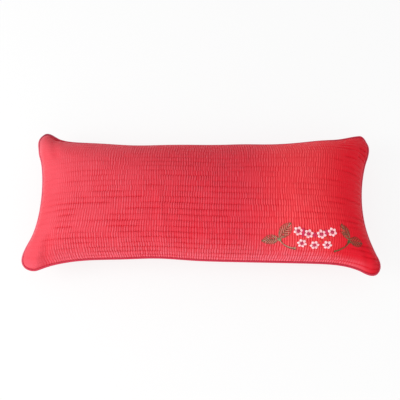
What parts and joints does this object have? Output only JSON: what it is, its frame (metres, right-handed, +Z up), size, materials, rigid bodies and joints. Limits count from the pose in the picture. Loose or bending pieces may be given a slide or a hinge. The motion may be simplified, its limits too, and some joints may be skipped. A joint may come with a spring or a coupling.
{
  "type": "buckwheat pillow",
  "caption": "Long narrow buckwheat pillow in red channel-quilted cotton, with pinched ears, a piped seam and a small embroidered spray of flowers and leaves.",
  "frame": {"origin": "on the floor under the middle of the pillow's outline, piping included", "axes": "+X along the pillow to the embroidered end, +Y across it to the long seam away from the embroidery, +Z up out of the embroidered face"},
  "size_m": [0.5222, 0.2254, 0.1018],
  "materials": {
    "cover": "matt pleated cotton, quilted in narrow channels",
    "piping": "cotton-covered cord",
    "petal_thread": "satin stitch, soft sheen",
    "centre_thread": "satin stitch, soft sheen",
    "leaf_thread": "satin and outline stitch, soft sheen"
  },
  "bodies": {
    "root": {"pillow": "cover", "piping": "piping"}
  },
  "joints": []
}
